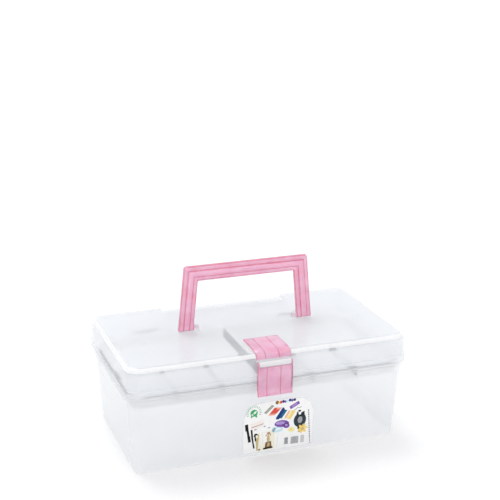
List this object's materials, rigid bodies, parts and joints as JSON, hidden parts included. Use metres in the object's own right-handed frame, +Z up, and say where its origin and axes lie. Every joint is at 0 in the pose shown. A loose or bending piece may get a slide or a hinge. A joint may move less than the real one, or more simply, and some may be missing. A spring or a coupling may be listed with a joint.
{
  "type": "clear plastic sewing box",
  "caption": "Clear plastic sewing and hobby box with a hinged lid, a folding carrying handle, a front snap latch and lift-out trays.",
  "frame": {"origin": "middle of the face that the tub stands on", "axes": "+X along the length of the box, to the right seen from the latch; +Y from the latch to the hinges; +Z up"},
  "size_m": [0.3, 0.1761, 0.1845],
  "materials": {
    "tub_plastic": "hazy clear polypropylene, glossy",
    "lid_plastic": "hazy clear polypropylene, glossy",
    "tray_plastic": "clear polypropylene, glossy",
    "pink_plastic": "translucent pink, glossy",
    "pin_steel": "drawn wire, satin",
    "label_film": "printed film, satin"
  },
  "bodies": {
    "tub": {"tub": "tub_plastic", "hinge_pin_left": "pin_steel", "hinge_pin_right": "pin_steel", "front_label": "label_film"},
    "lid": {"lid": "lid_plastic", "latch_plate": "pink_plastic", "latch_pin": "pin_steel"},
    "handle": {"handle": "pink_plastic"},
    "latch_flap": {"latch_flap": "pink_plastic"},
    "tray_left": {"tray_left": "tray_plastic"},
    "tray_right": {"tray_right": "tray_plastic"}
  },
  "joints": [
    {"name": "lid_hinge", "type": "hinge", "parent": "tub", "child": "lid", "pos_m": [0, 0.0857, 0.0855], "axis": [-1, 0, 0], "range_deg": [0, 105]},
    {"name": "handle_pivot", "type": "hinge", "parent": "lid", "child": "handle", "pos_m": [0, 0, 0.1186], "axis": [1, 0, 0], "range_deg": [-90, 86]},
    {"name": "latch_hinge", "type": "hinge", "parent": "lid", "child": "latch_flap", "pos_m": [0, -0.08295, 0.105], "axis": [-1, 0, 0], "range_deg": [0, 100]},
    {"name": "tray_left_lift", "type": "slide", "parent": "tub", "child": "tray_left", "axis": [0, 0, 1], "range_m": [0, 0.01]},
    {"name": "tray_right_lift", "type": "slide", "parent": "tub", "child": "tray_right", "axis": [0, 0, 1], "range_m": [0, 0.01]}
  ]
}
